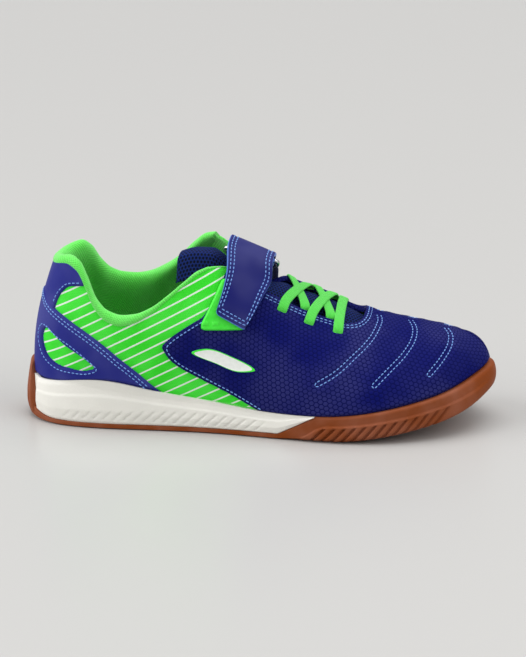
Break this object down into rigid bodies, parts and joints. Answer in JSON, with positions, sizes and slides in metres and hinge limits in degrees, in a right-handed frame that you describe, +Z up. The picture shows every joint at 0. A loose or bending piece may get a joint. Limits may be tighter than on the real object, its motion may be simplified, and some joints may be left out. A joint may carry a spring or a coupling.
{
  "type": "indoor sports shoe",
  "caption": "Right low-cut indoor sports shoe with elastic laces, a strap through a wire ring, a white foam midsole and a gum rubber outsole.",
  "frame": {"origin": "middle of the bounding box, on the floor under the sole", "axes": "+X from heel to toe, +Y towards the inner side of the foot, +Z up"},
  "size_m": [0.2372, 0.0898, 0.0939],
  "materials": {
    "upper": "neon green textile with a soft knit collar",
    "vamp_panel": "blue embossed synthetic leather",
    "heel_counter": "blue synthetic leather",
    "heel_patch": "blue synthetic leather",
    "outsole": "gum rubber, semi matt",
    "midsole": "white foam, matt",
    "insole": "dark textile sock",
    "tongue": "navy open mesh over padding",
    "strap": "blue synthetic leather with hook-and-loop backing",
    "strap_base": "green coated plate",
    "strap_ring": "polished wire",
    "ring_tab": "blue webbing",
    "lace_bar_front": "green elastic lace",
    "lace_cross_middle": "green elastic lace",
    "lace_cross_rear": "green elastic lace"
  },
  "bodies": {
    "root": {"upper": "upper", "vamp_panel": "vamp_panel", "heel_counter": "heel_counter", "heel_patch": "heel_patch", "outsole": "outsole", "midsole": "midsole", "insole": "insole", "tongue": "tongue", "strap": "strap", "strap_base": "strap_base", "strap_ring": "strap_ring", "ring_tab": "ring_tab", "lace_bar_front": "lace_bar_front", "lace_cross_middle": "lace_cross_middle", "lace_cross_rear": "lace_cross_rear"}
  },
  "joints": []
}
